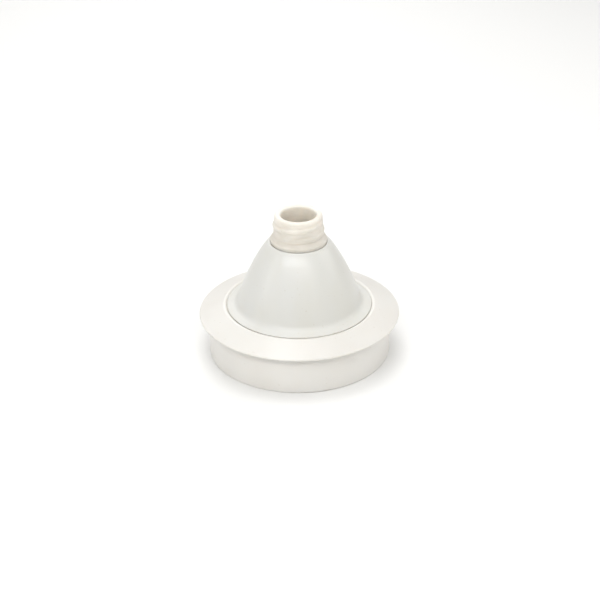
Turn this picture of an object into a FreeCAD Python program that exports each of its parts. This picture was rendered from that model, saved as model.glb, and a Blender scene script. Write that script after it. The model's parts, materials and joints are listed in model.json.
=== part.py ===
"""Deck fill cap: a bell-shaped cap with a threaded hose neck, twist-locked into a plug-in deck ring.

Millimetres, +Z up. The origin is on the cap's axis, in the plane of the deck that the gasket rests on.
The ring's skirt hangs below the deck, and the bell and its neck stand above it.
"""

import FreeCAD, Part
import math
import os

V = FreeCAD.Vector
AXIS = V(0, 0, 1)
ORIGIN = V(0, 0, 0)

# ---- Driving dimensions ----------------------------------------------------------------------------
FLANGE_R = 53.5  # outer radius of the deck ring's flange
SKIRT_R = 48.55  # outer radius of the skirt that plugs into the deck opening
SKIRT_BOTTOM = -21.4
NECK_TOP = 58.4
NECK_BORE_R = 9.3
THREAD_R = 13.5  # crest radius of the neck's thread

# ---- Roundings and allowances ----------------------------------------------------------------------
EDGE_ROUND = 0.5  # the free edges of the mouldings
FINE_ROUND = 0.4  # the edges of the valve and its seat
SEAL_ROUND = 0.3
SIDE_GAP = 0.1  # play beside a seal or a clip
REST_GAP = 0.05  # play under a seal or a clip
SINK = 0.6  # how far a lug, rib or spoke is sunk into the wall that carries it
CUT_MARGIN = 1.0  # how far a cutting shape stands beyond what it cuts

# ---- Deck ring -------------------------------------------------------------------------------------
FLANGE_BOTTOM = 0.5  # the gasket stands proud of the flange by this much
LIP = 1.2  # thickness of the flange at its rounded rim
FLANGE_SLOPE = math.radians(19.7)
SEAT_GAP = 0.2  # play round the bell's foot, measured sideways
SEAT_EDGE_ROUND = 2.0
LEDGE_TOP = 3.4
LEDGE_BOTTOM = 1.0
LEDGE_R = 31.0  # opening through the ledge
CUP_R = 41.5  # outside of the recess wall, under the flange
SKIRT_INNER_R = 46.35
SKIRT_EDGE_ROUND = 0.9
GROOVE_R = (49.4, 52.0)  # gasket groove in the flange's underside
GROOVE_DEPTH = 0.7
RIBS = 12
RIB_THICKNESS = 1.6
RIB_BOTTOM = -5.0
ROOF = 2.3  # wall of the flange between the recess and the skirt
ROOF_ROUND = 1.0

# ---- Bayonet ---------------------------------------------------------------------------------------
LUGS = 3
LUG_HALF = 10.0  # half a lug's width, in degrees
LUG_OUTER_R = 33.8
LUG_TOP = 0.85
LUG_BOTTOM = -1.75
NOTCH_HALF = 12.0
NOTCH_R = 34.2
TWIST = 50.0  # degrees from locked to free
STOP_GAP = 0.5
STOP_WIDTH = 6.0
STOP_BOTTOM = -1.6

# ---- Bell ------------------------------------------------------------------------------------------
FOOT_R = 39.05
FOOT_BOTTOM = 3.5
FOOT_EDGE = 6.1  # height of the foot's top at its edge, before rounding
FOOT_EDGE_ROUND = 0.4
FOOT_CONE = 1.0  # the foot's side tapers in by this much, at 45 degrees, to centre it in its recess
COVE_CORNER = (33.45, 7.63)  # where the wall's line would meet the foot's slope
COVE_ROUND = 3.4
WALL_START = (32.6, 9.9)
WALL_TURN = 13.6  # degrees that the wall's meridian turns through
SHOULDER_START = (20.2, 37.3)
SHOULDER_TURN = 10.3
CROWN_START = (16.6, 42.2)
CROWN_TURN = 27.1
CROWN_END_R = 15.6
BELL_TOP = 42.9
NECK_SEAT = 42.2  # floor of the shallow seat in the crown that the neck's collar stands in
NECK_SEAT_R = 15.1
CROWN_BOTTOM = 39.0  # flat underside of the crown, which the neck is clamped to
CROWN_FLAT_R = 16.3
CROWN_FLAT_ROUND = 0.6
INNER_SHOULDER = (18.15, 36.05)  # the inside follows the outside 2.4 mm in
INNER_WALL = (30.3, 9.2)
INNER_FOOT_ROUND = 2.0
SPIGOT_R = 30.6
SPIGOT_INNER_R = 28.2
SPIGOT_BOTTOM = -4.0
NECK_HOLE_R = 11.8

# ---- Hose neck -------------------------------------------------------------------------------------
COLLAR_R = 14.9
COLLAR_BOTTOM = 42.6
COLLAR_EDGE = 2.0
COLLAR_EDGE_ROUND = 0.25
COLLAR_TOP = 46.9
COLLAR_FLARE_ROUND = 1.8  # where the collar's cone runs into the core
CORE_R = 13.2  # the neck's core tapers from this at the collar
LIP_R = 12.45  # to this at the lip
LIP_ROUND = 1.1
SHANK_R = 11.6
SHANK_BOTTOM = 19.5
VALVE_SEAT = (38.4, 40.4)  # bottom and top of the lip that the valve shuts against
VALVE_SEAT_R = 6.5
VALVE_SEAT_CONE = 1.2  # height of the cone that leads down to the seat
CHAMBER_R = 9.0
GUIDE_POCKET_R = 9.4
GUIDE_POCKET_TOP = 25.5
CLIP_GROOVE = (21.3, 22.5)
CLIP_GROOVE_R = 10.0
THREAD_PITCH = 5.5
THREAD_START = 47.6
THREAD_TURNS = 1.3
THREAD_CREST = 1.5
THREAD_BASE = 3.2
THREAD_SINK = 0.5  # how far the ridge is sunk into the core
THREAD_ANGLE = -135.0  # where the ridge starts, about the axis

# ---- Neck fastening --------------------------------------------------------------------------------
NECK_GASKET_R = (11.9, 14.75)
WASHER_R = (11.75, 15.4)
WASHER_THICKNESS = 0.9
NUT_ACROSS_FLATS = 28.0
NUT_THICKNESS = 6.0
NUT_BORE_R = 11.65
NUT_CHAMFER = 1.2

# ---- Check valve -----------------------------------------------------------------------------------
DISC_R = 8.1
DISC = (35.2, 37.1)
NOSE_R = 4.0
NOSE_TOP = 40.2
NOSE_TIP_R = 2.2
NOSE_TIP_ROUND = 0.6
NOSE_STEP = 0.4  # the nose stays straight for this much above its seal
STEM_R = 1.5
STEM_BOTTOM = 20.4
SEAL_R = (4.05, 7.9)
SEAL_TOP = 38.35
GUIDE = (22.55, 25.45)
GUIDE_RIM_R = (7.7, 9.3)
HUB_R = 4.4
HUB_BORE_R = 1.58
SPOKES = 4
SPOKE_WIDTH = 1.6
SPOKE_DROP = 0.6  # how far the spokes' tops lie below the rim's
SPRING_WIRE_R = 0.35
SPRING_R = 3.3
SPRING = (25.5, 35.15)
SPRING_TURNS = 5.0
CLIP_R = (7.9, 9.9)
CLIP_THICKNESS = 1.1
CLIP_GAP = 70.0

# ---- Seals -----------------------------------------------------------------------------------------
O_RING_R = 36.0
O_RING_WIRE_R = 0.85
O_RING_GROOVE = 1.1  # half the groove's width
O_RING_GROOVE_TOP = 5.25


# ---- Drawing helpers -------------------------------------------------------------------------------
def point(r, z):
    """A point of the meridian plane."""
    return V(r, 0, z)


def turn_arc(start, end, degrees):
    """An arc from start to end that turns left through the angle, or right if it is negative."""
    chord = end - start
    left = V(-chord.z, 0, chord.x)
    middle = (start + end) * 0.5 - left * (0.5 * math.tan(math.radians(degrees) / 4))
    return Part.Arc(start, middle, end).toShape()


def corner_cut(before, corner, after, radius):
    """Where a rounding of that radius leaves the two straight runs at a corner, and its middle."""
    a = (before - corner).normalize()
    b = (after - corner).normalize()
    half = a.getAngle(b) / 2
    reach = radius / math.tan(half)
    middle = corner + (a + b).normalize() * (radius / math.sin(half) - radius)
    return corner + a * reach, middle, corner + b * reach


def meridian(corners):
    """A closed face in the meridian plane.

    Each corner is (r, z), (r, z, rounding) or (r, z, 0, turn), where turn bends the run that leaves it.
    """
    points = [point(c[0], c[1]) for c in corners]
    count = len(points)
    cuts = []
    for i, corner in enumerate(corners):
        radius = corner[2] if len(corner) > 2 else 0
        here = points[i]
        if radius:
            cuts.append(corner_cut(points[i - 1], here, points[(i + 1) % count], radius))
        else:
            cuts.append((here, None, here))
    edges = []
    for i, (entry, middle, leave) in enumerate(cuts):
        if middle is not None:
            edges.append(Part.Arc(entry, middle, leave).toShape())
        following = cuts[(i + 1) % count][0]
        turn = corners[i][3] if len(corners[i]) > 3 else 0
        if turn:
            edges.append(turn_arc(leave, following, turn))
        else:
            edges.append(Part.LineSegment(leave, following).toShape())
    return Part.Face(Part.Wire(edges))


def turned(corners):
    """The solid that a meridian outline makes about the axis."""
    return meridian(corners).revolve(ORIGIN, AXIS, 360)


def tube(inner_r, outer_r, bottom, top):
    """A plain ring about the axis."""
    return turned([(inner_r, bottom), (outer_r, bottom), (outer_r, top), (inner_r, top)])


def sector(inner_r, outer_r, bottom, top, start, width):
    """A piece of a ring, from start over width, in degrees."""
    outline = [(inner_r, bottom), (outer_r, bottom), (outer_r, top), (inner_r, top)]
    piece = meridian(outline).revolve(ORIGIN, AXIS, width)
    piece.rotate(ORIGIN, AXIS, start)
    return piece


def spread(shape, count, start=0.0):
    """Copies of a shape, evenly spaced about the axis."""
    copies = []
    for i in range(count):
        copy = shape.copy()
        copy.rotate(ORIGIN, AXIS, start + 360.0 * i / count)
        copies.append(copy)
    return copies


def ridge(pitch, height, radius, section):
    """A section swept along a right-handed helix that starts at z = 0."""
    helix = Part.makeHelix(pitch, height, radius)
    return Part.Wire(helix.Edges).makePipeShell([section], True, True)


# ---- Deck ring -------------------------------------------------------------------------------------
def flange_top(r):
    """Height of the flange's sloping top at a radius."""
    rim = FLANGE_R - LIP / 2
    level = FLANGE_BOTTOM + LIP / 2 + LIP / 2 / math.cos(FLANGE_SLOPE)
    return level + (rim - r) * math.tan(FLANGE_SLOPE)


def ring_body():
    """The flange with its rounded rim, the skirt, and the recess with its ledge."""
    groove_top = FLANGE_BOTTOM + GROOVE_DEPTH
    rim = FLANGE_R - LIP / 2
    rim_leave = rim + LIP / 2 * math.sin(FLANGE_SLOPE)
    recess_r = FOOT_R - FOOT_CONE + SEAT_GAP
    cone_bottom = FOOT_EDGE - FOOT_CONE
    # the taper at 45 degrees meets the flange's slope here
    seat_r = (flange_top(0) - cone_bottom + recess_r) / (1 + math.tan(FLANGE_SLOPE))
    return turned([
        (SKIRT_INNER_R, SKIRT_BOTTOM, EDGE_ROUND),
        (SKIRT_R, SKIRT_BOTTOM, SKIRT_EDGE_ROUND),
        (SKIRT_R, FLANGE_BOTTOM),
        (GROOVE_R[0], FLANGE_BOTTOM),
        (GROOVE_R[0], groove_top),
        (GROOVE_R[1], groove_top),
        (GROOVE_R[1], FLANGE_BOTTOM),
        (rim, FLANGE_BOTTOM, 0, 180 - math.degrees(FLANGE_SLOPE)),
        (rim_leave, flange_top(rim_leave)),
        (seat_r, flange_top(seat_r), SEAT_EDGE_ROUND),
        (recess_r, cone_bottom),
        (recess_r, LEDGE_TOP),
        (LEDGE_R, LEDGE_TOP),
        (LEDGE_R, LEDGE_BOTTOM),
        (CUP_R, LEDGE_BOTTOM, EDGE_ROUND),
        (CUP_R, flange_top(CUP_R) - ROOF),
        (SKIRT_INNER_R, flange_top(SKIRT_INNER_R) - ROOF, ROOF_ROUND),
    ])


def ring_ribs():
    """The slanting webs that tie the recess to the skirt."""
    inner = CUP_R - SINK
    outer = SKIRT_INNER_R + SINK
    web = meridian([
        (inner, LEDGE_BOTTOM + SINK),
        (outer, RIB_BOTTOM),
        (outer, LEDGE_BOTTOM + 2 * SINK),
    ])
    rib = web.extrude(V(0, RIB_THICKNESS, 0))
    rib.translate(V(0, -RIB_THICKNESS / 2, 0))
    return spread(rib, RIBS, 180.0 / RIBS)


def ring_stops():
    """The blocks under the ledge that end the bell's twist, at its locked and its free side."""
    stop = sector(LEDGE_R, NOTCH_R, STOP_BOTTOM, LEDGE_BOTTOM + SINK, 0, STOP_WIDTH)
    locked_side = spread(stop, LUGS, -LUG_HALF - STOP_GAP - STOP_WIDTH)
    free_side = spread(stop, LUGS, TWIST + LUG_HALF + STOP_GAP)
    return locked_side + free_side


def deck_ring():
    """The sloping flange, the skirt under it, and the recessed ledge that the bell locks to."""
    notch = sector(
        LEDGE_R - CUT_MARGIN, NOTCH_R, LEDGE_BOTTOM - CUT_MARGIN, LEDGE_TOP + CUT_MARGIN,
        -NOTCH_HALF, 2 * NOTCH_HALF,
    )
    body = ring_body().cut(spread(notch, LUGS, TWIST))
    return body.multiFuse(ring_stops() + ring_ribs()).removeSplitter()


def deck_gasket():
    """The soft ring in the flange's groove, which rests on the deck."""
    return tube(GROOVE_R[0] + SIDE_GAP, GROOVE_R[1] - SIDE_GAP, 0, FLANGE_BOTTOM + GROOVE_DEPTH)


# ---- Bell ------------------------------------------------------------------------------------------
def bell_dome():
    """The bell, with its foot, the spigot below it, and the bayonet lugs."""
    groove = (O_RING_R - O_RING_GROOVE, O_RING_R + O_RING_GROOVE)
    body = turned([
        (SPIGOT_INNER_R, SPIGOT_BOTTOM, EDGE_ROUND),
        (SPIGOT_R, SPIGOT_BOTTOM, EDGE_ROUND),
        (SPIGOT_R, FOOT_BOTTOM),
        (groove[0], FOOT_BOTTOM),
        (groove[0], O_RING_GROOVE_TOP),
        (groove[1], O_RING_GROOVE_TOP),
        (groove[1], FOOT_BOTTOM),
        (FOOT_R - FOOT_CONE, FOOT_BOTTOM),
        (FOOT_R - FOOT_CONE, FOOT_EDGE - FOOT_CONE),
        (FOOT_R, FOOT_EDGE, FOOT_EDGE_ROUND),
        (*COVE_CORNER, COVE_ROUND),
        (*WALL_START, 0, WALL_TURN),
        (*SHOULDER_START, 0, SHOULDER_TURN),
        (*CROWN_START, 0, CROWN_TURN),
        (CROWN_END_R, BELL_TOP),
        (NECK_SEAT_R, BELL_TOP, COLLAR_EDGE_ROUND),
        (NECK_SEAT_R, NECK_SEAT),
        (NECK_HOLE_R, NECK_SEAT),
        (NECK_HOLE_R, CROWN_BOTTOM),
        (CROWN_FLAT_R, CROWN_BOTTOM, CROWN_FLAT_ROUND),
        (*INNER_SHOULDER, 0, -WALL_TURN),
        INNER_WALL,
        (SPIGOT_INNER_R, FOOT_BOTTOM, INNER_FOOT_ROUND),
    ])
    lug = sector(SPIGOT_R - SINK, LUG_OUTER_R, LUG_BOTTOM, LUG_TOP, -LUG_HALF, 2 * LUG_HALF)
    return body.multiFuse(spread(lug, LUGS)).removeSplitter()


def dome_o_ring():
    """The cord seal between the bell's foot and the ledge."""
    middle = LEDGE_TOP + REST_GAP + O_RING_WIRE_R
    return Part.makeTorus(O_RING_R, O_RING_WIRE_R, point(0, middle), AXIS)


# ---- Hose neck -------------------------------------------------------------------------------------
def hose_neck():
    """The threaded neck, its collar, and the shank below that holds the check valve."""
    collar_shoulder = COLLAR_BOTTOM + COLLAR_EDGE
    body = turned([
        (SHANK_R, SHANK_BOTTOM, EDGE_ROUND),
        (SHANK_R, COLLAR_BOTTOM),
        (COLLAR_R, COLLAR_BOTTOM, COLLAR_EDGE_ROUND),
        (COLLAR_R, collar_shoulder, FINE_ROUND),
        (CORE_R, COLLAR_TOP, COLLAR_FLARE_ROUND),
        (LIP_R, NECK_TOP, LIP_ROUND),
        (NECK_BORE_R, NECK_TOP, LIP_ROUND),
        (NECK_BORE_R, VALVE_SEAT[1] + VALVE_SEAT_CONE),
        (VALVE_SEAT_R, VALVE_SEAT[1], FINE_ROUND),
        (VALVE_SEAT_R, VALVE_SEAT[0]),
        (CHAMBER_R, VALVE_SEAT[0]),
        (CHAMBER_R, GUIDE_POCKET_TOP),
        (GUIDE_POCKET_R, GUIDE_POCKET_TOP),
        (GUIDE_POCKET_R, CLIP_GROOVE[1]),
        (CLIP_GROOVE_R, CLIP_GROOVE[1]),
        (CLIP_GROOVE_R, CLIP_GROOVE[0]),
        (GUIDE_POCKET_R, CLIP_GROOVE[0]),
        (GUIDE_POCKET_R, SHANK_BOTTOM),
    ])
    root = LIP_R - THREAD_SINK
    section = Part.makePolygon([
        point(root, -THREAD_BASE / 2),
        point(THREAD_R, -THREAD_CREST / 2),
        point(THREAD_R, THREAD_CREST / 2),
        point(root, THREAD_BASE / 2),
        point(root, -THREAD_BASE / 2),
    ])
    thread = ridge(THREAD_PITCH, THREAD_PITCH * THREAD_TURNS, LIP_R, section)
    thread.rotate(ORIGIN, AXIS, THREAD_ANGLE)
    thread.translate(V(0, 0, THREAD_START))
    return body.fuse(thread)


def neck_gasket():
    """The flat seal between the neck's collar and the bell's crown."""
    return tube(*NECK_GASKET_R, NECK_SEAT, COLLAR_BOTTOM)


def neck_washer():
    """The hard washer between the bell's crown and the locknut."""
    return tube(*WASHER_R, CROWN_BOTTOM - WASHER_THICKNESS, CROWN_BOTTOM)


def neck_locknut():
    """The hexagon nut that clamps the neck to the bell."""
    top = CROWN_BOTTOM - WASHER_THICKNESS
    bottom = top - NUT_THICKNESS
    corner_r = NUT_ACROSS_FLATS / 2 / math.cos(math.radians(30))
    corners = []
    for i in range(7):
        angle = math.radians(60 * i)
        corners.append(V(corner_r * math.cos(angle), corner_r * math.sin(angle), bottom))
    prism = Part.Face(Part.makePolygon(corners)).extrude(V(0, 0, NUT_THICKNESS))
    chamfer = NUT_CHAMFER * math.tan(math.radians(30))
    envelope = turned([
        (NUT_BORE_R, bottom),
        (corner_r - NUT_CHAMFER, bottom),
        (corner_r, bottom + chamfer),
        (corner_r, top - chamfer),
        (corner_r - NUT_CHAMFER, top),
        (NUT_BORE_R, top),
    ])
    return prism.common(envelope)


# ---- Check valve -----------------------------------------------------------------------------------
def valve_poppet():
    """The valve's disc, with a nose that centres its seal and a stem that runs in the guide."""
    return turned([
        (0, STEM_BOTTOM),
        (STEM_R, STEM_BOTTOM, FINE_ROUND),
        (STEM_R, DISC[0], EDGE_ROUND),
        (DISC_R, DISC[0], FINE_ROUND),
        (DISC_R, DISC[1], SEAL_ROUND),
        (NOSE_R, DISC[1]),
        (NOSE_R, SEAL_TOP + NOSE_STEP, FINE_ROUND),
        (NOSE_TIP_R, NOSE_TOP, NOSE_TIP_ROUND),
        (0, NOSE_TOP),
    ])


def poppet_seal():
    """The rubber washer round the nose, which shuts against the seat."""
    return turned([
        (SEAL_R[0], DISC[1]),
        (SEAL_R[1], DISC[1], SEAL_ROUND),
        (SEAL_R[1], SEAL_TOP, SEAL_ROUND),
        (SEAL_R[0], SEAL_TOP),
    ])


def valve_guide():
    """The spoked guide that the stem runs in and the spring stands on."""
    rim = tube(*GUIDE_RIM_R, *GUIDE)
    hub = tube(HUB_BORE_R, HUB_R, *GUIDE)
    spoke = Part.makeBox(
        GUIDE_RIM_R[0] - HUB_R + 2 * SINK, SPOKE_WIDTH, GUIDE[1] - GUIDE[0] - SPOKE_DROP,
        V(HUB_R - SINK, -SPOKE_WIDTH / 2, GUIDE[0]),
    )
    return rim.multiFuse([hub] + spread(spoke, SPOKES)).removeSplitter()


def valve_spring():
    """The compression spring under the disc."""
    bottom = SPRING[0] + SPRING_WIRE_R
    height = SPRING[1] - SPRING[0] - 2 * SPRING_WIRE_R
    wire = Part.Wire(Part.makeCircle(SPRING_WIRE_R, V(SPRING_R, 0, 0), V(0, 1, 0)))
    coil = ridge(height / SPRING_TURNS, height, SPRING_R, wire)
    coil.translate(V(0, 0, bottom))
    return coil


def guide_circlip():
    """The open ring that keeps the guide in the shank."""
    bottom = CLIP_GROOVE[0] + REST_GAP
    return sector(*CLIP_R, bottom, bottom + CLIP_THICKNESS, CLIP_GAP / 2, 360 - CLIP_GAP)


PARTS = [
    deck_ring,
    deck_gasket,
    bell_dome,
    dome_o_ring,
    hose_neck,
    neck_gasket,
    neck_washer,
    neck_locknut,
    valve_poppet,
    poppet_seal,
    valve_guide,
    valve_spring,
    guide_circlip,
]


def main():
    os.makedirs("parts", exist_ok=True)
    for make in PARTS:
        shape = make()
        name = make.__name__
        solids = shape.Solids
        print(f"{name}: {len(solids)} solid, valid {shape.isValid()}, {shape.Volume:.1f} mm3")
        Part.makeCompound(solids).exportStep(f"parts/{name}.step")


main()
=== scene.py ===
"""The deck fill cap's looks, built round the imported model. Metres, +Z up."""
import json
import math

import bmesh
import bpy
from mathutils import Matrix, Vector

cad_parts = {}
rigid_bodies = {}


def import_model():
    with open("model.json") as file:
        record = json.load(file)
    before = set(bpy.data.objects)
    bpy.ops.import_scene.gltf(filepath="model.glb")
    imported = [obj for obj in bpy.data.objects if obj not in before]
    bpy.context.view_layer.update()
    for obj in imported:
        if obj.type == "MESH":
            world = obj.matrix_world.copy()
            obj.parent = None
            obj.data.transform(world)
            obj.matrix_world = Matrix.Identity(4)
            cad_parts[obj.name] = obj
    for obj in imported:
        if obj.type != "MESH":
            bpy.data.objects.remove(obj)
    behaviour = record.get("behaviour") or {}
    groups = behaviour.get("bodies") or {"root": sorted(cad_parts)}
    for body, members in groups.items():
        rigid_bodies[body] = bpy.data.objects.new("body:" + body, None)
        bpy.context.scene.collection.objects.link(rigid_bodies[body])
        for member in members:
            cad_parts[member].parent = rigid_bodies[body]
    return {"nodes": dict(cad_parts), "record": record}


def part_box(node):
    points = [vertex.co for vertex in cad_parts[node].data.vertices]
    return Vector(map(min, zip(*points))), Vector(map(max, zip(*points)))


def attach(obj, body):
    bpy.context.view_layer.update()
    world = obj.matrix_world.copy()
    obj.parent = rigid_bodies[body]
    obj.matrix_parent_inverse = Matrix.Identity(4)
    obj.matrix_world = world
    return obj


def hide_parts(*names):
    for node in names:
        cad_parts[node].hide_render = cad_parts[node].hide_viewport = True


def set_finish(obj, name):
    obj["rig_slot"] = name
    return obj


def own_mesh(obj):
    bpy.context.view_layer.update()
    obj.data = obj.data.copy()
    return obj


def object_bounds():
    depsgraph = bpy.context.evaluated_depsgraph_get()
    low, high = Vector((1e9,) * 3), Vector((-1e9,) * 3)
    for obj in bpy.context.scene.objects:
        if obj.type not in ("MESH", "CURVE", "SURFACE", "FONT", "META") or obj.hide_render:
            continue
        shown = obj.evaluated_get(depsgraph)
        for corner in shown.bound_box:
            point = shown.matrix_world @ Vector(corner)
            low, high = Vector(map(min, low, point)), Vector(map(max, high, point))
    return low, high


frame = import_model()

CAD_BOX = [list(corner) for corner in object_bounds()]
NODES = frame["nodes"]
MM = 0.001

# ---- Camera ----------------------------------------------------------------------------------------
RIM = Vector((0, 0, 0.0011))  # centre of the flange's rim
CAMERA_DISTANCE = 0.8598
CAMERA_ELEVATION = math.radians(28.86)
CAMERA_ROLL = math.radians(-0.6)
CAMERA_LENS = 96.0
CAMERA_SHIFT = (0.0011, 0.0170)

# ---- Studio ----------------------------------------------------------------------------------------
FLOOR_HALF = 3.0
FLOOR_COLOUR = (0.88, 0.88, 0.87)
WORLD_COLOUR = (1.0, 0.99, 0.975)
WORLD_STRENGTH = 0.52
LIGHT_TARGET = (0, 0, 0.01)
LIGHTS = [
    # name, place, width and height, power in watts
    ("top", (-0.05, 0.1, 0.9), (0.5, 0.5), 2.5),
    ("front_panel", (-0.1, -0.6, 0.62), (1.3, 0.22), 3.7),
    ("right_strip", (0.42, -0.615, 0.29), (0.12, 0.45), 0.16),
    ("left_strip", (-0.72, -0.19, 0.29), (0.14, 0.45), 0.4),
    ("right", (0.7, 0.1, 0.4), (0.5, 0.5), 0.9),
    ("back", (-0.1, 0.7, 0.5), (0.6, 0.6), 1.7),
]

# ---- Hose neck, in millimetres ---------------------------------------------------------------------
NECK_SEGMENTS = 480
NECK_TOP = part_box("hose_neck")[1].z / MM
SHANK_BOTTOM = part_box("hose_neck")[0].z / MM
SHANK_R = 11.6
COLLAR_R = 14.9
COLLAR_BOTTOM = 42.6
COLLAR_EDGE_TOP = 44.6
COLLAR_TOP = 46.9
CORE_R = 13.2  # the core tapers from this at the collar
LIP_R = 12.45  # to this at the lip
LIP_ROUND = 1.1
COLLAR_EDGE_ROUND = 0.25
COLLAR_FLARE_ROUND = 1.4  # where the collar's cone runs into the core
SHANK_ROUND = 0.5
FINE_ROUND = 0.4
BORE_R = 9.3
SEAT = (38.4, 40.4)
SEAT_R = 6.5
SEAT_CONE = 1.2  # height of the cone that leads down to the seat
CHAMBER_R = 9.0
POCKET_R = 9.4
POCKET_TOP = 25.5
CLIP_GROOVE = (21.3, 22.5)
CLIP_GROOVE_R = 10.0
THREAD_R = 13.5
THREAD_PITCH = 5.5
THREAD_START = 47.6
THREAD_TURNS = 1.3
THREAD_RUN_OUT = 0.11  # turns over which the ridge rises from the core
THREAD_ANGLE = -135.0
THREAD_CREST = 0.5  # half width of the ridge's crest
THREAD_FOOT = 1.75  # half width of the ridge's foot
THREAD_ROW = 0.16  # spacing of the rows of faces up the thread
THREAD_CLEAR = 1.0  # plain core between the collar and the thread's first row
SPLIT_HEIGHT = 0.09  # witness line where the two halves of the mould met
SPLIT_WIDTH = 0.2

# ---- Check valve spring, in millimetres --------------------------------------------------------------
SPRING_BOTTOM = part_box("valve_spring")[0].z / MM
SPRING_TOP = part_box("valve_spring")[1].z / MM
SPRING_R = 3.3
SPRING_WIRE_R = 0.35
SPRING_TURNS = 6.5
SPRING_DEAD_TURNS = 0.9  # closed turns at each end
SPRING_CLOSED_PITCH = 2.05 * SPRING_WIRE_R

# ---- Finish ------------------------------------------------------------------------------------------
SMOOTH_ANGLE = math.radians(35)
SATIN_FOOT = 0.16  # how much rougher the surfaces are from the bell's foot outwards
RUBBED_COLOUR = (205, 200, 190)
# colour of the seam band: dust with painted crease shade
SEAM_DUST_AND_SHADE_COLOUR = (190, 183, 168)
SPECK_COLOUR = (188, 178, 160)
NYLON_SPECK_COLOUR = (172, 146, 112)
# half width of the seam band of dust and painted crease shade
SEAM_DUST_AND_SHADE_REACH = 0.0007

# ---- Moulding marks, in millimetres ------------------------------------------------------------------
LEDGE_BOTTOM = 1.0
PAD_COUNT = 12
BUTTON_SIDES = 40
PAD_CIRCLE_R = 37.6
PAD_R = 1.6
PAD_HEIGHT = 0.08
GATE_R = 0.9
GATE_HEIGHT = 0.5


# ---- Mesh helpers ------------------------------------------------------------------------------------
def corner_points(before, corner, after, radius, steps=8):
    """The points of a rounding between two straight runs of a meridian."""
    corner = Vector(corner)
    a = (Vector(before) - corner).normalized()
    b = (Vector(after) - corner).normalized()
    half = a.angle(b) / 2
    centre = corner + (a + b).normalized() * (radius / math.sin(half))
    start = corner + a * (radius / math.tan(half)) - centre
    end = corner + b * (radius / math.tan(half)) - centre
    points = []
    for i in range(steps + 1):
        direction = start.lerp(end, i / steps).normalized()
        # even steps along the chord are near enough to even steps along a quarter arc
        points.append(centre + direction * radius)
    return points


def meridian(corners):
    """A closed outline of (r, z) points from corners of (r, z) or (r, z, rounding)."""
    points = []
    count = len(corners)
    for i, corner in enumerate(corners):
        if len(corner) == 3:
            before, after = corners[i - 1][:2], corners[(i + 1) % count][:2]
            points += corner_points(before, corner[:2], after, corner[2])
        else:
            points.append(Vector(corner))
    return points


def add_object(name, mesh):
    """A smooth-shaded object that keeps its sharp edges."""
    piece = bpy.data.objects.new(name, mesh)
    bpy.context.scene.collection.objects.link(piece)
    mesh.shade_smooth()
    mesh.set_sharp_from_angle(angle=SMOOTH_ANGLE)
    return piece


def lathe(name, outline, segments, radius_at=None):
    """A closed outline turned about the axis. radius_at(r, z, angle) may shape the radius."""
    vertices = []
    for i in range(segments):
        angle = 2 * math.pi * i / segments
        for point in outline:
            r = radius_at(point.x, point.y, angle) if radius_at else point.x
            vertices.append((r * math.cos(angle) * MM, r * math.sin(angle) * MM, point.y * MM))
    rows = len(outline)
    faces = []
    for i in range(segments):
        here, beside = i * rows, (i + 1) % segments * rows
        for j in range(rows):
            k = (j + 1) % rows
            faces.append((here + j, beside + j, beside + k, here + k))
    mesh = bpy.data.meshes.new(name)
    mesh.from_pydata(vertices, [], faces)
    return add_object(name, mesh)


def smooth_step(value):
    """0 below 0, 1 above 1, and an easy curve between."""
    value = min(1.0, max(0.0, value))
    return value * value * (3 - 2 * value)


# ---- Pieces ------------------------------------------------------------------------------------------
def core_radius(z):
    """The neck's tapering core."""
    return CORE_R + (LIP_R - CORE_R) * (z - COLLAR_TOP) / (NECK_TOP - COLLAR_TOP)


def thread_share(z, angle):
    """How much of the ridge's full height stands at a height and an angle."""
    share = 0.0
    first = (angle - math.radians(THREAD_ANGLE)) / (2 * math.pi) % 1.0
    for turn in (first, first + 1):
        if turn > THREAD_TURNS:
            continue
        away = abs(z - THREAD_START - THREAD_PITCH * turn)
        flank = smooth_step((THREAD_FOOT - away) / (THREAD_FOOT - THREAD_CREST))
        rise = smooth_step(turn / THREAD_RUN_OUT) * smooth_step((THREAD_TURNS - turn) / THREAD_RUN_OUT)
        share = max(share, flank * rise)
    return share


def neck_radius(r, z, angle):
    """The neck's outside with its thread ridge and the mould's split line."""
    if z < COLLAR_EDGE_TOP or r < core_radius(z) - LIP_ROUND / 2:
        return r
    sideways = abs(math.sin(angle)) * r
    fade = smooth_step((NECK_TOP - z) / LIP_ROUND)
    split = SPLIT_HEIGHT * math.exp(-((sideways / SPLIT_WIDTH) ** 2)) * fade
    return max(r, r + (THREAD_R - r) * thread_share(z, angle)) + split


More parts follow.
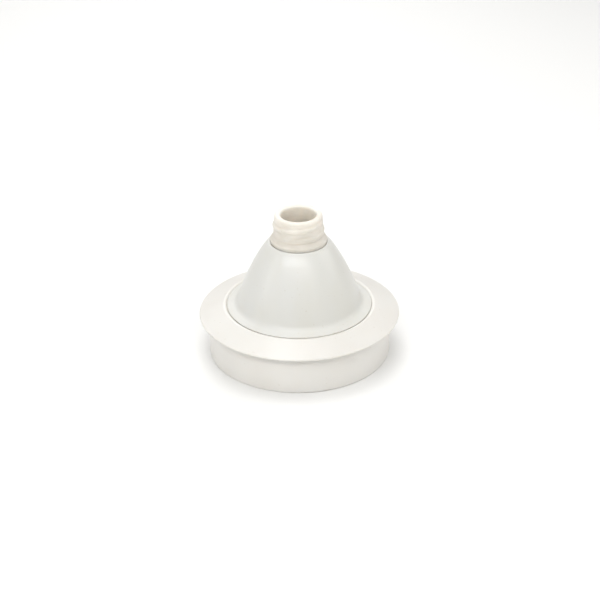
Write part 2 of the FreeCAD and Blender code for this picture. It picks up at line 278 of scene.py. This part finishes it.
def make_neck():
    """The threaded neck and its shank, with a rounded ridge that runs out at both ends."""
    thread_bottom, thread_top = COLLAR_TOP + THREAD_CLEAR, NECK_TOP - LIP_ROUND
    rows = int((thread_top - thread_bottom) / THREAD_ROW)
    core = []
    for i in range(rows):
        z = thread_bottom + (thread_top - thread_bottom) * i / rows
        core.append((core_radius(z), z))
    outline = meridian([
        (SHANK_R, SHANK_BOTTOM, SHANK_ROUND),
        (SHANK_R, COLLAR_BOTTOM),
        (COLLAR_R, COLLAR_BOTTOM, COLLAR_EDGE_ROUND),
        (COLLAR_R, COLLAR_EDGE_TOP, FINE_ROUND),
        (CORE_R, COLLAR_TOP, COLLAR_FLARE_ROUND),
        *core,
        (LIP_R, NECK_TOP, LIP_ROUND),
        (BORE_R, NECK_TOP, LIP_ROUND),
        (BORE_R, SEAT[1] + SEAT_CONE),
        (SEAT_R, SEAT[1], FINE_ROUND),
        (SEAT_R, SEAT[0]),
        (CHAMBER_R, SEAT[0]),
        (CHAMBER_R, POCKET_TOP),
        (POCKET_R, POCKET_TOP),
        (POCKET_R, CLIP_GROOVE[1]),
        (CLIP_GROOVE_R, CLIP_GROOVE[1]),
        (CLIP_GROOVE_R, CLIP_GROOVE[0]),
        (POCKET_R, CLIP_GROOVE[0]),
        (POCKET_R, SHANK_BOTTOM),
    ])
    neck = lathe("moulded_neck", outline, NECK_SEGMENTS, neck_radius)
    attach(neck, "bell")
    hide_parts("hose_neck")
    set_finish(neck, "natural_nylon")
    return neck


def spring_height(turn):
    """The wire's centre height at a turn, with closed turns at both ends."""
    bottom, top = SPRING_BOTTOM + SPRING_WIRE_R, SPRING_TOP - SPRING_WIRE_R
    closed = SPRING_CLOSED_PITCH * SPRING_DEAD_TURNS
    if turn < SPRING_DEAD_TURNS:
        return bottom + closed * smooth_step(turn / SPRING_DEAD_TURNS)
    if turn > SPRING_TURNS - SPRING_DEAD_TURNS:
        return top - closed * smooth_step((SPRING_TURNS - turn) / SPRING_DEAD_TURNS)
    live = (turn - SPRING_DEAD_TURNS) / (SPRING_TURNS - 2 * SPRING_DEAD_TURNS)
    return bottom + closed + (top - bottom - 2 * closed) * live


def make_spring():
    """The valve's coil spring, built at one length; the real spring shortens as the poppet opens."""
    steps, sides = 48, 12
    count = int(SPRING_TURNS * steps) + 1
    mesh = bpy.data.meshes.new("coil_spring")
    bm = bmesh.new()
    rings = []
    for i in range(count):
        turn = i / steps
        angle = 2 * math.pi * turn
        ring = []
        for j in range(sides):
            around = 2 * math.pi * j / sides
            r = SPRING_R + SPRING_WIRE_R * math.cos(around)
            z = spring_height(turn) + SPRING_WIRE_R * math.sin(around)
            ring.append(bm.verts.new((r * math.cos(angle) * MM, r * math.sin(angle) * MM, z * MM)))
        rings.append(ring)
    for here, beside in zip(rings, rings[1:]):
        for j in range(sides):
            k = (j + 1) % sides
            bm.faces.new((here[j], beside[j], beside[k], here[k]))
    bm.faces.new(rings[0])
    bm.faces.new(reversed(rings[-1]))
    bmesh.ops.recalc_face_normals(bm, faces=bm.faces)
    bm.to_mesh(mesh)
    bm.free()
    spring = add_object("coil_spring", mesh)
    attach(spring, "bell")
    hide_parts("valve_spring")
    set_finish(spring, "stainless")
    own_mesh(spring)
    return spring


def add_button(bm, x, y, z, radius, height, edge):
    """A low round pad that hangs from a flat face, with a softened edge."""
    layers = [(radius + edge / 2, 0.0), (radius, -edge), (radius - edge, -height)]
    rings = []
    for r, drop in layers:
        ring = []
        for i in range(BUTTON_SIDES):
            angle = 2 * math.pi * i / BUTTON_SIDES
            place = (x + r * math.cos(angle), y + r * math.sin(angle), z + drop)
            ring.append(bm.verts.new([value * MM for value in place]))
        rings.append(ring)
    for here, below in zip(rings, rings[1:]):
        for i in range(BUTTON_SIDES):
            k = (i + 1) % BUTTON_SIDES
            bm.faces.new((here[i], here[k], below[k], below[i]))
    bm.faces.new(reversed(rings[0]))
    bm.faces.new(rings[-1])


def make_moulding_marks():
    """The raised prints of the mould's ejector pins and gate, under the ring's ledge."""
    mesh = bpy.data.meshes.new("ejector_pads")
    bm = bmesh.new()
    for i in range(PAD_COUNT):
        angle = 2 * math.pi * i / PAD_COUNT
        x, y = PAD_CIRCLE_R * math.cos(angle), PAD_CIRCLE_R * math.sin(angle)
        add_button(bm, x, y, LEDGE_BOTTOM, PAD_R, PAD_HEIGHT, PAD_HEIGHT / 2)
    gate_angle = math.pi / PAD_COUNT
    x, y = PAD_CIRCLE_R * math.cos(gate_angle), PAD_CIRCLE_R * math.sin(gate_angle)
    add_button(bm, x, y, LEDGE_BOTTOM, GATE_R, GATE_HEIGHT, GATE_HEIGHT / 3)
    bmesh.ops.recalc_face_normals(bm, faces=bm.faces)
    bm.to_mesh(mesh)
    bm.free()
    marks = add_object("ejector_pads", mesh)
    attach(marks, "ring")
    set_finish(marks, "ring_plastic")
    return marks


# ---- Materials -----------------------------------------------------------------------------------------
class Maker:
    """A material's node tree, built from its shader outwards. Every texture lies in the row frame."""

    def __init__(self, name):
        self.material = bpy.data.materials.new(name)
        self.material.use_nodes = True
        self.tree = self.material.node_tree
        self.shader = self.tree.nodes["Principled BSDF"]
        self.place = self.tree.nodes.new("ShaderNodeTexCoord").outputs["Object"]

    def node(self, kind, inputs=(), **settings):
        """A new node with its settings and inputs: a socket is linked, and a value is set."""
        made = self.tree.nodes.new(kind)
        for key, value in settings.items():
            setattr(made, key, value)
        for key, value in dict(inputs).items():
            if isinstance(value, bpy.types.NodeSocket):
                self.tree.links.new(value, made.inputs[key])
            else:
                made.inputs[key].default_value = value
        return made

    def set(self, **values):
        """Values on the shader's own sockets, by name with _ for a space."""
        for key, value in values.items():
            socket = self.shader.inputs[key.replace("_", " ")]
            if isinstance(value, bpy.types.NodeSocket):
                self.tree.links.new(value, socket)
            else:
                socket.default_value = value

    def stretched(self, scale):
        """The place, scaled along each axis."""
        return self.node("ShaderNodeMapping", {"Vector": self.place, "Scale": scale}).outputs["Vector"]

    def noise(self, scale, detail=3.0, roughness=0.5, place=None):
        """Cloudy values about 0.5. Scale is in waves for each metre."""
        inputs = {"Vector": place or self.place, "Scale": scale, "Detail": detail, "Roughness": roughness}
        return self.node("ShaderNodeTexNoise", inputs).outputs["Fac"]

    def ramp(self, value, low, high, to_low=0.0, to_high=1.0):
        """A value carried from one span to another, and held at its ends."""
        inputs = {"Value": value, "From Min": low, "From Max": high, "To Min": to_low, "To Max": to_high}
        return self.node("ShaderNodeMapRange", inputs, interpolation_type="SMOOTHSTEP").outputs["Result"]

    def math(self, operation, a, b):
        """One sum of two values."""
        return self.node("ShaderNodeMath", {0: a, 1: b}, operation=operation).outputs[0]

    def mix(self, share, a, b):
        """Two colours mixed by a share."""
        # a mix node's colours are its inputs 6 and 7, and its output 2
        return self.node("ShaderNodeMix", {"Factor": share, 6: a, 7: b}, data_type="RGBA").outputs[2]

    def radius_and_height(self):
        """Distance from the axis, and height, in metres."""
        flat = self.node("ShaderNodeVectorMath", {0: self.place, 1: (1, 1, 0)}, operation="MULTIPLY")
        radius = self.node("ShaderNodeVectorMath", {0: flat.outputs[0]}, operation="LENGTH")
        height = self.node("ShaderNodeSeparateXYZ", {0: self.place})
        return radius.outputs["Value"], height.outputs["Z"]

    def hairlines(self, across, along, wander=0.0004):
        """Streaks that run round the axis. across and along are in waves for each metre and each radian."""
        flat = self.node("ShaderNodeVectorMath", {0: self.place, 1: (1, 1, 0)}, operation="MULTIPLY")
        heading = self.node("ShaderNodeVectorMath", {0: flat.outputs[0]}, operation="NORMALIZE").outputs[0]
        radius, height = self.radius_and_height()
        sway = self.math("MULTIPLY", self.noise(35.0, 2.0), wander)
        # on the bell the radius falls as the height grows, so their difference never stands still
        level = self.math("ADD", self.math("SUBTRACT", radius, self.math("MULTIPLY", height, 0.8)), sway)
        lift = self.node("ShaderNodeCombineXYZ", {"Z": self.math("MULTIPLY", level, across)}).outputs[0]
        spun = self.node("ShaderNodeVectorMath", {0: heading, 1: (along, along, 0)}, operation="MULTIPLY")
        place = self.node("ShaderNodeVectorMath", {0: spun.outputs[0], 1: lift}, operation="ADD")
        return self.noise(1.0, 2.0, 0.5, place.outputs[0])

    def band(self, value, middle, reach):
        """1 where a value is at its middle, and 0 past its reach on either side."""
        away = self.math("ABSOLUTE", self.math("SUBTRACT", value, middle), 0.0)
        return self.ramp(away, 0.0, reach, 1.0, 0.0)

    def bump(self, height, distance, strength=1.0, below=None):
        """A bump of a height in metres, on top of another bump."""
        inputs = {"Height": height, "Distance": distance, "Strength": strength}
        if below:
            inputs["Normal"] = below
        return self.node("ShaderNodeBump", inputs).outputs["Normal"]


def colour(red, green, blue):
    """A linear colour from 0 to 255 sRGB values."""
    linear = []
    for value in (red, green, blue):
        share = value / 255
        linear.append(share / 12.92 if share <= 0.04045 else ((share + 0.055) / 1.055) ** 2.4)
    return (*linear, 1.0)


def handling_marks(maker):
    """Sparse fine scratches round the axis, from twisting and stacking, as a mask."""
    fine = maker.ramp(maker.hairlines(1600.0, 1.6), 0.55, 0.8)
    patches = maker.ramp(maker.noise(48.0, 2.0), 0.4, 0.75)
    return maker.math("MULTIPLY", fine, patches)


def moulded_white(name, clean, aged, roughness, worn, seam_r):
    """White moulding: soft yellowing, flow clouds, orange peel, duller hairlines and rubbed edges.

    seam_r is the radius of a darker band of dust with painted crease shade, and the finish is satin from
    just inside it. worn lists the edges as (axis, place, reach) in metres, where axis is "r" or "z".
    """
    maker = Maker(name)
    radius, height = maker.radius_and_height()
    clouds = maker.ramp(maker.noise(24.0, 3.0, 0.5), 0.32, 0.72, 0.0, 0.6)
    flow = maker.ramp(maker.noise(1.0, 2.0, 0.5, maker.stretched((60.0, 60.0, 14.0))), 0.35, 0.7, 0.0, 0.4)
    base = maker.mix(maker.math("ADD", clouds, flow), clean, aged)
    rubbed = 0.0
    for axis, place, reach in worn:
        band = maker.band(radius if axis == "r" else height, place, reach)
        rubbed = maker.math("MAXIMUM", band, rubbed)
    chatter = maker.ramp(maker.noise(260.0, 4.0, 0.65), 0.38, 0.66)
    rubbed = maker.math("MULTIPLY", rubbed, chatter)
    base = maker.mix(maker.math("MULTIPLY", rubbed, 0.35), base, colour(*RUBBED_COLOUR))
    # darker band along the seam between the bell's foot and the ring: dust with painted crease shade
    dust = maker.math("MULTIPLY", maker.band(radius, seam_r, SEAM_DUST_AND_SHADE_REACH), chatter)
    base = maker.mix(maker.math("MULTIPLY", dust, 0.25), base, colour(*SEAM_DUST_AND_SHADE_COLOUR))
    specks = maker.ramp(maker.noise(620.0, 0.0), 0.79, 0.84, 0.0, 0.22)
    base = maker.mix(specks, base, colour(*SPECK_COLOUR))
    marks = handling_marks(maker)
    smear = maker.ramp(maker.noise(38.0, 3.0, 0.5), 0.3, 0.75, -0.04, 0.07)
    satin = maker.ramp(radius, seam_r - 0.0055, seam_r - 0.003, 0.0, SATIN_FOOT)
    rough = maker.math("ADD", maker.math("ADD", smear, satin), roughness)
    rough = maker.math("ADD", rough, maker.math("MULTIPLY", marks, 0.07))
    rough = maker.math("ADD", rough, maker.math("MULTIPLY", rubbed, 0.18))
    peel = maker.bump(maker.noise(420.0, 2.0, 0.4), 0.000016, 0.5)
    grain = maker.bump(maker.noise(5200.0, 2.0, 0.5), 0.000003, 0.5, peel)
    maker.set(
        Base_Color=base, Roughness=rough, Normal=grain, IOR=1.49, Specular_IOR_Level=0.7,
        Subsurface_Weight=0.25, Subsurface_Radius=(1.0, 0.9, 0.75), Subsurface_Scale=0.0015,
    )
    return maker.material


def natural_nylon(name, pale, deep, roughness, scatter):
    """Uncoloured nylon: cloudy and waxy, with fine turning marks, its tone deeper and darker lower on the
    neck, partly for the thicker wall and partly as painted shade towards the collar.
    """
    maker = Maker(name)
    clouds = maker.noise(95.0, 4.0, 0.55)
    streaks = maker.noise(1.0, 3.0, 0.6, maker.stretched((60.0, 60.0, 420.0)))
    cloudy = maker.ramp(clouds, 0.3, 0.7, 0.0, 0.35)
    share = maker.math("ADD", cloudy, maker.ramp(streaks, 0.4, 0.7, 0.0, 0.25))
    # deeper, darker tone lower on the neck: partly the thicker wall, partly painted shade towards the
    # collar
    thick_wall_and_shade = maker.ramp(maker.radius_and_height()[1], 0.045, 0.058, 0.4, 0.0)
    share = maker.math("ADD", share, thick_wall_and_shade)
    base = maker.mix(share, pale, deep)
    specks = maker.ramp(maker.noise(1300.0, 1.0), 0.75, 0.8, 0.0, 0.4)
    base = maker.mix(specks, base, colour(*NYLON_SPECK_COLOUR))
    smear = maker.ramp(maker.noise(120.0, 4.0, 0.6), 0.3, 0.7, -0.06, 0.1)
    rough = maker.math("ADD", smear, roughness)
    wave = maker.node(
        "ShaderNodeTexWave", {"Vector": maker.place, "Scale": 260.0, "Distortion": 0.6, "Detail": 2.0},
        wave_type="BANDS", bands_direction="Z",
    )
    rings = maker.bump(wave.outputs["Fac"], 0.000012, 0.4)
    waxy = maker.bump(maker.noise(700.0, 3.0, 0.5), 0.00002, 0.5, rings)
    maker.set(
        Base_Color=base, Roughness=rough, Normal=waxy, IOR=1.53,
        Subsurface_Weight=scatter, Subsurface_Radius=(1.0, 0.92, 0.82), Subsurface_Scale=0.004,
    )
    return maker.material


def rubber(name, dark, bloom, roughness, pore):
    """Matte elastomer with a pale bloom, fine pores and a dusty roughness."""
    maker = Maker(name)
    dust = maker.ramp(maker.noise(180.0, 5.0, 0.65), 0.4, 0.75, 0.0, 0.8)
    base = maker.mix(dust, dark, bloom)
    specks = maker.ramp(maker.noise(pore, 2.0, 0.6), 0.62, 0.72, 0.0, 0.5)
    base = maker.mix(specks, base, bloom)
    rough = maker.math("ADD", maker.ramp(dust, 0.0, 1.0, -0.06, 0.12), roughness)
    pores = maker.bump(maker.noise(pore, 3.0, 0.6), 0.00003, 0.6)
    maker.set(Base_Color=base, Roughness=rough, Normal=pores, IOR=1.5)
    return maker.material


def stainless(name):
    """Drawn stainless steel: streaks along the part, fine scratches, and a slightly uneven sheen."""
    maker = Maker(name)
    streaks = maker.noise(1.0, 4.0, 0.6, maker.stretched((500.0, 500.0, 9000.0)))
    clouds = maker.noise(220.0, 3.0, 0.5)
    base = maker.mix(maker.ramp(clouds, 0.35, 0.7), colour(196, 197, 199), colour(168, 168, 170))
    rough = maker.math("ADD", maker.ramp(streaks, 0.3, 0.7, -0.06, 0.14), 0.27)
    lines = maker.bump(streaks, 0.000006, 0.5)
    maker.set(Base_Color=base, Metallic=1.0, Roughness=rough, Normal=lines)
    return maker.material


def paint():
    """Every shown node and piece gets its slot's material."""
    foot_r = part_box("bell_dome")[1].x
    rim_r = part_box("deck_ring")[1].x
    skirt_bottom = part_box("deck_ring")[0].z
    bell_worn = [("r", foot_r, 0.0006)]
    ring_worn = [("r", rim_r, 0.0007), ("z", skirt_bottom, 0.0012)]
    bell_tones = colour(214, 214, 210), colour(211, 210, 203)
    ring_tones = colour(223, 221, 216), colour(220, 217, 211)
    nylon_tones = colour(232, 228, 220), colour(204, 198, 186)
    materials = {
        "white_plastic": moulded_white("white_plastic", *bell_tones, 0.33, bell_worn, foot_r),
        "ring_plastic": moulded_white("ring_plastic", *ring_tones, 0.2, ring_worn, foot_r),
        "natural_nylon": natural_nylon("natural_nylon", *nylon_tones, 0.46, 0.75),
        "black_rubber": rubber("black_rubber", colour(26, 26, 27), colour(62, 61, 60), 0.62, 1800.0),
        "pale_rubber": rubber("pale_rubber", colour(206, 199, 184), colour(222, 216, 204), 0.6, 1600.0),
        "grey_foam": rubber("grey_foam", colour(168, 168, 165), colour(205, 204, 200), 0.8, 1400.0),
        "stainless": stainless("stainless"),
    }
    slots = {entry["node"]: entry["material_slot"] for entry in frame["record"]["subparts"]}
    shown = [(node, slots[name]) for name, node in NODES.items()]
    shown += [(piece, piece["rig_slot"]) for piece in bpy.data.objects if "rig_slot" in piece]
    for piece, slot in shown:
        piece.data.materials.clear()
        piece.data.materials.append(materials[slot])


# ---- Camera, floor and lights ----------------------------------------------------------------------------
def make_camera():
    """The camera looks along +Y and down at the rim."""
    data = bpy.data.cameras.new("camera")
    data.lens = CAMERA_LENS
    data.shift_x, data.shift_y = CAMERA_SHIFT
    data.clip_start = 0.01
    camera = bpy.data.objects.new("camera", data)
    bpy.context.scene.collection.objects.link(camera)
    away = Vector((0, -math.cos(CAMERA_ELEVATION), math.sin(CAMERA_ELEVATION)))
    tilt = Matrix.Rotation(math.pi / 2 - CAMERA_ELEVATION, 4, "X")
    roll = Matrix.Rotation(CAMERA_ROLL, 4, "Z")
    camera.matrix_world = Matrix.Translation(RIM + away * CAMERA_DISTANCE) @ tilt @ roll
    bpy.context.scene.camera = camera


def area_light(name, place, size, power):
    """A soft light at a place, turned to the object."""
    data = bpy.data.lights.new(name, "AREA")
    data.shape = "ELLIPSE"
    data.size, data.size_y = size
    data.energy = power
    light = bpy.data.objects.new(name, data)
    bpy.context.scene.collection.objects.link(light)
    light.location = place
    light.rotation_euler = (Vector(LIGHT_TARGET) - Vector(place)).to_track_quat("-Z", "Y").to_euler()


def make_floor():
    """A plain pale floor that the skirt stands on."""
    z = CAD_BOX[0][2]
    corners = [(-1, -1), (1, -1), (1, 1), (-1, 1)]
    mesh = bpy.data.meshes.new("floor")
    mesh.from_pydata([(x * FLOOR_HALF, y * FLOOR_HALF, z) for x, y in corners], [], [(0, 1, 2, 3)])
    floor = bpy.data.objects.new("floor", mesh)
    bpy.context.scene.collection.objects.link(floor)
    maker = Maker("floor")
    maker.set(Base_Color=(*FLOOR_COLOUR, 1), Roughness=0.7)
    mesh.materials.append(maker.material)


def make_studio():
    """The floor, a soft bright world, and large lights above and in front."""
    make_floor()
    world = bpy.data.worlds.new("studio")
    world.use_nodes = True
    background = world.node_tree.nodes["Background"]
    background.inputs["Color"].default_value = (*WORLD_COLOUR, 1)
    background.inputs["Strength"].default_value = WORLD_STRENGTH
    bpy.context.scene.world = world
    for light in LIGHTS:
        area_light(*light)
    bpy.context.scene.view_settings.view_transform = "Standard"


def main():
    make_camera()
    make_studio()
    make_neck()
    make_spring()
    make_moulding_marks()
    paint()


main()
